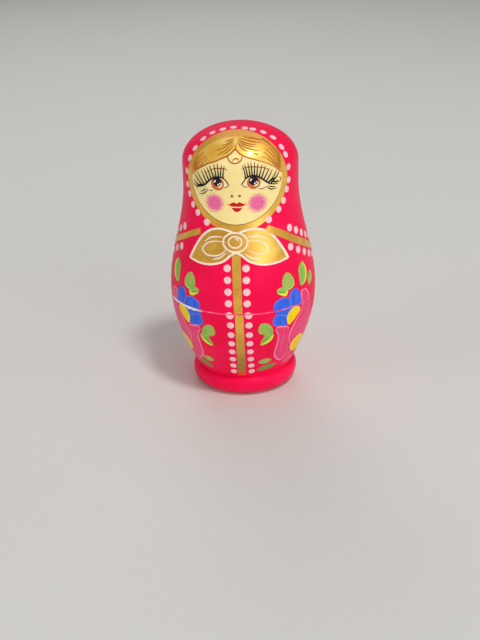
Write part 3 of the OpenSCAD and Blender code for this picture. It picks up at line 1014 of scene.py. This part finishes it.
leafPaint = {
    "upper": [([(61.8, 58.9), (64.6, 56.6), (65.0, 54.0), (62.4, 50.8), (58.4, 49.5), (55.2, 50.0),
                (54.6, 53.2), (54.9, 56.4), (57.6, 58.1)], "topLeaf"),
              ([(71.8, 53.7), (74.0, 51.6), (72.6, 49.2), (68.4, 47.8), (66.1, 49.0), (66.6, 51.4)],
               "sideLeaf"),
              ([(41.9, 57.0), (45.6, 55.8), (48.0, 53.4), (47.9, 51.2), (44.8, 50.0), (40.6, 49.8),
                (36.9, 51.8), (37.0, 54.2), (39.0, 56.2)], "frontLeaf"),
              ([(36.5, 51.5), (32.6, 51.2), (31.4, 50.4), (32.4, 49.1), (36.4, 48.0), (39.4, 47.7),
                (41.0, 48.8), (40.6, 50.0)], "flatLeaf")],
    "lower": [([(27.7, 31.2), (25.9, 28.7), (21.8, 27.0), (17.2, 26.4), (17.4, 28.4), (19.2, 30.3),
                (20.0, 32.2), (24.0, 32.4)], "lowLeaf"),
              ([(15.0, 33.0), (14.6, 35.2), (16.3, 37.0), (19.5, 37.3), (23.4, 36.3), (26.1, 34.3),
                (26.4, 32.3), (23.0, 31.6), (18.5, 31.9)], "highLeaf")],
}
leafLines = {
    "upper": {
        "rim": [([(61.4, 58.5), (63.9, 56.4), (64.3, 54.0), (62.0, 51.2), (58.2, 49.9)], "topLeaf", 1.4),
                ([(71.6, 53.4), (73.3, 51.6), (72.0, 49.6), (68.4, 48.3)], "sideLeaf", 0.6),
                ([(45.0, 55.7), (47.3, 53.4), (47.2, 51.4), (44.6, 50.4), (41.6, 50.2)],
                 "frontLeaf", 0.4),
                ([(40.2, 49.9), (40.2, 48.9), (38.8, 48.2), (36.2, 48.5), (32.8, 49.4)],
                 "flatLeaf", 1.3)],
        "olive": [([(41.6, 56.2), (41.4, 54.4), (42.4, 52.6)], "frontLeaf", 2.2),
                  ([(69.8, 52.4), (70.4, 50.8), (69.6, 49.4)], "sideLeaf", 1.3)],
        "vein": [([(33.2, 49.9), (35.4, 49.6), (38.2, 49.5)], "flatLeaf", 0.55),
                 ([(58.6, 57.0), (58.2, 54.0), (57.4, 51.0)], "topLeaf", 0.45)],
    },
    "lower": {
        "rim": [([(27.2, 30.9), (25.5, 29.0), (21.8, 27.6), (17.9, 26.9)], "lowLeaf", 1.5)],
        "olive": [([(15.8, 33.2), (16.4, 34.4), (18.8, 33.6), (21.0, 32.6)], "highLeaf", 1.8)],
        "vein": [([(18.4, 27.6), (20.6, 28.8), (23.8, 30.4)], "lowLeaf", 0.6),
                 ([(22.6, 34.8), (24.0, 33.4), (24.6, 32.0)], "highLeaf", 0.45)],
    },
}
centrePaint = [([(48.4, 41.5), (51.8, 40.5), (52.3, 39.0), (50.2, 37.6), (47.6, 36.3), (44.6, 35.0),
                 (42.0, 34.1), (40.0, 34.7), (38.5, 36.9), (38.7, 38.5), (41.0, 40.4), (45.0, 41.5)],
                "centre"),
               ([(63.5, 25.5), (71.0, 22.8), (74.5, 19.4), (72.0, 17.0), (63.1, 16.9), (56.1, 18.0),
                 (51.1, 20.3), (49.9, 22.2), (51.7, 24.2), (55.7, 25.5), (59.6, 25.9)], "centre")]
smallLeaves = [([(16.8, 16.8), (20.0, 18.0), (24.4, 18.4), (30.2, 17.3), (27.7, 16.1), (21.4, 15.7)],
                "smallLeaf")]
thinLeaves = [([(16.6, 12.0), (20.8, 13.9), (28.5, 14.8), (38.2, 14.2), (33.8, 12.5), (24.5, 11.7)],
               "thinLeaf")]


def bothSides(points, fellow):
    further, up, swing = fellowOff[fellow]
    left = [(-angle - further - swing * (seam - z), z + up) for angle, z in points]
    return [onBelt(points), onBelt(left)]


def paintFlowers(half, name, key, slotName, shapes, lift):
    lines = [smoothLine(side, 5, True) for points, fellow in shapes for side in bothSides(points, fellow)]
    paintPatch(half, name, key, slotName, lines, lift, wrap="belt", cut=arris)


def strokesOnBothSides(strokes, share=1.0):
    return [(side, width * share, "both") for points, fellow, width in strokes
            for side in bothSides(points, fellow)]


petalLift = {"pink": 0.04, "blue": 0.08}
for half, petals in flowerPaint.items():
    for colour, shapes in petals.items():
        paintFlowers(half, colour + "_petals", colour, colour + "_paint", shapes, petalLift[colour])
    paintFlowers(half, "leaves", "green", "green_paint", leafPaint[half], lift=0.07)
paintFlowers("lower", "flower_centres", "yellow", "yellow_paint", centrePaint, lift=0.13)
paintFlowers("lower", "small_leaves", "green", "green_paint", smallLeaves, lift=0.05)
paintFlowers("lower", "thin_leaves", "dimGreen", "green_paint", thinLeaves, lift=0.05)

# pale strokes that edge and streak the petals
petalLines = {
    "upper": {
        "palePink": [([(56.4, 42.4), (55.9, 44.8), (55.7, 46.7), (57.4, 47.3), (59.8, 47.3)],
                      "bud", 0.95),
                     ([(59.8, 47.3), (61.9, 47.0), (65.0, 45.0), (67.6, 42.6)], "bud", 0.7)],
        "paleBlue": [([(45.3, 42.4), (44.4, 43.6), (42.8, 45.4), (42.9, 47.5), (45.0, 48.8),
                       (48.6, 49.2)], "tallBlue", 0.4),
                     ([(42.2, 46.0), (38.7, 46.8), (35.4, 46.9), (31.1, 46.2), (28.9, 44.9),
                       (28.5, 43.2)], "wideBlue", 0.35)],
    },
    "lower": {
        "palePink": [([(55.6, 41.2), (53.7, 37.8), (48.8, 34.7), (45.4, 31.0), (44.4, 28.3), (45.6, 25.4),
                       (48.6, 22.8)], "rose", 0.85),
                     ([(68.0, 41.0), (68.0, 36.0), (67.2, 32.4)], "rose", 0.6),
                     ([(63.8, 26.2), (66.2, 28.8), (70.4, 32.0), (75.6, 34.7), (81.2, 35.9), (86.2, 34.6),
                       (88.8, 31.2), (88.2, 27.4), (83.6, 24.2)], "rose", 1.1),
                     ([(80.0, 22.5), (86.0, 23.4), (91.6, 22.5), (94.6, 19.7), (92.9, 16.7), (86.8, 14.8),
                       (78.6, 14.6)], "rose", 0.9),
                     ([(29.4, 33.6), (30.6, 34.3), (33.0, 34.2), (36.4, 33.7), (39.6, 33.4),
                       (42.0, 32.1)], "longPetal", 0.85),
                     ([(29.4, 33.4), (29.5, 32.5), (31.4, 31.2), (32.6, 29.1), (32.7, 26.4), (32.1, 23.3),
                       (31.9, 20.9), (33.3, 18.9), (37.0, 16.8), (41.8, 15.6), (46.0, 15.8), (50.6, 16.4),
                       (56.4, 17.6)], "longPetal", 0.85),
                     ([(46.2, 13.0), (52.2, 14.3), (60.0, 15.2), (68.0, 15.4), (73.2, 14.8)],
                      "rose", 0.7)],
        "paleYellow": [([(47.8, 41.2), (45.0, 41.2), (41.2, 40.2), (39.0, 38.4), (38.8, 36.9),
                         (40.2, 35.0), (42.0, 34.5)], "centre", 0.5),
                       ([(63.4, 25.2), (59.4, 25.5), (55.8, 25.1), (52.1, 23.9), (50.5, 22.2),
                         (51.6, 20.6), (56.3, 18.4)], "centre", 0.5)],
        "paleBlue": [([(29.2, 40.4), (34.0, 39.4), (39.0, 38.7)], "lowBlue", 0.4),
                     ([(28.8, 40.0), (27.0, 39.2), (26.3, 37.6), (26.9, 35.9), (29.2, 35.3),
                       (33.0, 34.9)], "lowBlue", 0.35)],
    },
}
petalStreaks = {
    "upper": [],
    "lower": [([(83.0, 32.4), (78.4, 29.4), (73.6, 25.8)], "rose", 0.9),
              ([(89.6, 19.6), (83.6, 19.2), (78.4, 18.8)], "rose", 0.9),
              ([(62.0, 38.6), (58.6, 34.6), (52.6, 31.0), (49.6, 27.0)], "rose", 0.9),
              ([(64.6, 36.0), (62.0, 32.0), (57.0, 28.4)], "rose", 0.9),
              ([(37.0, 32.0), (37.4, 26.0), (38.6, 20.0)], "longPetal", 0.9)],
}
strokeLook = {
    "palePink": {"name": "palePink", "slot": "pink_paint", "lift": 0.1, "flatten": 0.1},
    "paleBlue": {"name": "paleBlue", "slot": "blue_paint", "lift": 0.11, "flatten": 0.1},
    "paleYellow": {"name": "paleYellow", "slot": "yellow_paint", "lift": 0.16, "flatten": 0.1},
    "rim": {"name": "leaf_rims", "slot": "yellow_paint", "lift": 0.11, "flatten": 0.1},
    "olive": {"name": "leaf_blends", "slot": "green_paint", "lift": 0.09, "flatten": 0.04},
    "vein": {"name": "leaf_veins", "slot": "green_paint", "lift": 0.13, "flatten": 0.1},
}
blendLook = {"lift": 0.06, "flatten": 0.04, "share": 2}
edgeShare = 0.74  # pink petals are edged with the thinnest brush
for half, lines in petalLines.items():
    for colour, strokes in list(lines.items()) + list(leafLines[half].items()):
        look = strokeLook[colour]
        drawn = strokesOnBothSides(strokes, edgeShare if colour == "palePink" else 1.0)
        brushStrokes(half, look["name"], colour, look["slot"], drawn, look["lift"], "belt", look["flatten"])
        if colour == "palePink":  # a half-tone beside each pale stroke, where the wet paints ran together
            blend = [(side, width * blendLook["share"], thin) for side, width, thin in drawn]
            blend += strokesOnBothSides(petalStreaks[half])
            brushStrokes(half, "soft_pink", "softPink", look["slot"], blend, blendLook["lift"], "belt",
                         blendLook["flatten"])

# primer chipped bare along the seam, on the doll's right side
chip = [(-72, 41.7), (-66, 41.3), (-59, 41.3), (-52, 41.4), (-46, 41.4), (-43.6, 41.0), (-40.5, 41.4),
        (-38.6, 41.1), (-35, 41.4), (-30, 41.6), (-30, 43.0), (-72, 43.0)]
chipTop = 0.29  # the chip runs a hair past the edge of the lacquer
paintPatch("lower", "seam_chip", "primer", "bare_limewood", [onBelt(chip)], 0.16, wrap="belt", cut=chipTop)
print("flowers painted")


# every painted doll is the outer one made smaller

def place(piece, body, slotName):
    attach(piece, body)


def smallerCopy(piece, name, size, stand, turn=0.0):
    copy = piece.copy()
    copy.data = piece.data.copy()
    copy.name = name
    bpy.context.collection.objects.link(copy)
    spin = Matrix.Rotation(math.radians(turn), 4, "Z")
    copy.data.transform(Matrix.Translation((0, 0, stand)) @ spin @ Matrix.Scale(size, 4))
    return copy


for doll in ("second", "third", "fourth"):
    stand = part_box(doll + "_lower_half")[0].z
    size = (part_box(doll + "_upper_half")[1].z - stand) / (t["height"] * mm)
    for half in ("lower", "upper"):
        body = doll + "_%s_half" % half
        shell = smallerCopy(shells[half], body + "_shell", size, stand)
        place(shell, body, "painted_limewood")
        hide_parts(body)
        for piece, slotName in paints[half]:
            place(smallerCopy(piece, piece.name.replace("outer", doll), size, stand), body, slotName)
low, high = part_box("smallest_doll")
size = (high.z - low.z) / (t["height"] * mm)
# in one piece, so the painting of its lower half is turned back in line
for half, turn in (("lower", -paintTurn["lower"]), ("upper", 0.0)):
    for piece, slotName in paints[half]:
        if "chip" not in piece.name:
            copy = smallerCopy(piece, piece.name.replace("outer", "smallest"), size, low.z, turn)
            place(copy, "smallest_doll", slotName)
solidShell.data.transform(Matrix.Translation((0, 0, low.z)) @ Matrix.Scale(size, 4))
place(solidShell, "smallest_doll", "painted_limewood")
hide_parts("smallest_doll")
for half in ("lower", "upper"):
    body = "outer_%s_half" % half
    place(shells[half], body, "painted_limewood")
    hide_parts(body)
    for piece, slotName in paints[half]:
        place(piece, body, slotName)
bpy.data.objects.remove(dropModel)
print("dolls placed")

# pale studio floor of matt paper, faintly fibrous, that sweeps up all round
floorLook = {"radius": 4.5, "wall": 4.0, "cove": 1.8, "sides": 96, "bends": 16, "fibre": 3.0}
clearSelection()
bpy.ops.mesh.primitive_circle_add(vertices=floorLook["sides"], radius=floorLook["radius"], fill_type="NGON")
floor = bpy.context.object
floor.name = "studio_floor"
bpy.ops.object.mode_set(mode="EDIT")
bpy.ops.mesh.select_all(action="SELECT")
bpy.ops.mesh.extrude_edges_move(TRANSFORM_OT_translate={"value": (0, 0, floorLook["wall"])})
bpy.ops.object.mode_set(mode="OBJECT")
sweep = floor.modifiers.new("sweep", "BEVEL")
sweep.width = floorLook["cove"]
sweep.segments = floorLook["bends"]
bpy.ops.object.modifier_apply(modifier=sweep.name)
for face in floor.data.polygons:
    face.use_smooth = len(face.vertices) == 4
paper, tree, shader = newFinish("paleBackdropPaper")
fibre = grainOf(tree, objectPlace(tree), floorLook["fibre"] * mm, 3.0)
setSurface(tree, shader, rampOf(tree, fibre, [(0.3, "D8D6D2"), (0.7, "DAD8D4")]), {"Roughness": 0.7})
floor.data.materials.append(paper)

# soft studio light: a small key high on the right, a gridded panel low on the right,
# fills that give no glare, and a top light
lamps = {
    "key": {"from": (0.289, -0.35, 0.891), "away": 3.0, "size": 0.45, "watts": 37.0, "glare": True,
            "spread": 180},
    "panel": {"from": (0.8, -1.0, 0.34), "away": 2.4, "size": 1.5, "watts": 3.5, "glare": True,
              "spread": 70},
    "front": {"from": (0.0, -1.0, 0.1), "away": 2.4, "size": 0.9, "watts": 1.2, "glare": False,
              "spread": 60},
    "left": {"from": (-1.0, -0.5, 0.14), "away": 2.4, "size": 1.5, "watts": 3.3, "glare": False,
             "spread": 70},
    "right": {"from": (1.0, -0.1, 0.2), "away": 2.4, "size": 1.5, "watts": 1.3, "glare": False,
              "spread": 70},
    "back": {"from": (-0.3, 1.0, 0.5), "away": 2.4, "size": 1.5, "watts": 2.6, "glare": False,
             "spread": 70},
    "top": {"from": (0.1, 0.5, 1.0), "away": 3.0, "size": 3.0, "watts": 14.0, "glare": True,
            "spread": 180},
}
room = {"aimZ": 0.07, "sky": "E6E8EC", "strength": 0.2}
aim = Vector((0, 0, room["aimZ"]))
for name, lamp in lamps.items():
    clearSelection()
    way = Vector(lamp["from"]).normalized()
    bpy.ops.object.light_add(type="AREA", location=aim + way * lamp["away"])
    light = bpy.context.object
    light.name = name + "_light"
    light.rotation_euler = way.to_track_quat("Z", "Y").to_euler()
    light.data.size = lamp["size"]
    light.data.energy = lamp["watts"]
    light.data.spread = math.radians(lamp["spread"])
    light.visible_glossy = lamp["glare"]
world = bpy.data.worlds.new("softRoom")
world.use_nodes = True
sky = world.node_tree.nodes["Background"]
sky.inputs["Color"].default_value = linearOf(room["sky"])
sky.inputs["Strength"].default_value = room["strength"]
bpy.context.scene.world = world

# camera at the photograph's angle
view = {
    "azimuth": 5.3, "height": 19.87, "away": 409.5, "aimZ": 57.5, "down": 23.9, "pan": 0.263, "roll": -1.44,
    "lens": 54.0, "sensor": 36.0, "near": 0.01,
}
turn, rise = math.radians(view["azimuth"]), math.radians(view["height"])
bpy.ops.object.camera_add()
camera = bpy.context.object
level = math.cos(rise)
spot = Vector((math.sin(turn) * level, -math.cos(turn) * level, math.sin(rise))) * view["away"]
camera.matrix_world = (Matrix.Translation((spot + Vector((0, 0, view["aimZ"]))) * mm)
                       @ Matrix.Rotation(turn + math.radians(view["pan"]), 4, "Z")
                       @ Matrix.Rotation(math.radians(90 - view["down"]), 4, "X")
                       @ Matrix.Rotation(math.radians(view["roll"]), 4, "Z"))
camera.data.lens = view["lens"]
camera.data.sensor_width = view["sensor"]
camera.data.clip_start = view["near"]
bpy.context.scene.camera = camera
bpy.context.scene.view_settings.view_transform = "Standard"
print("studio set")
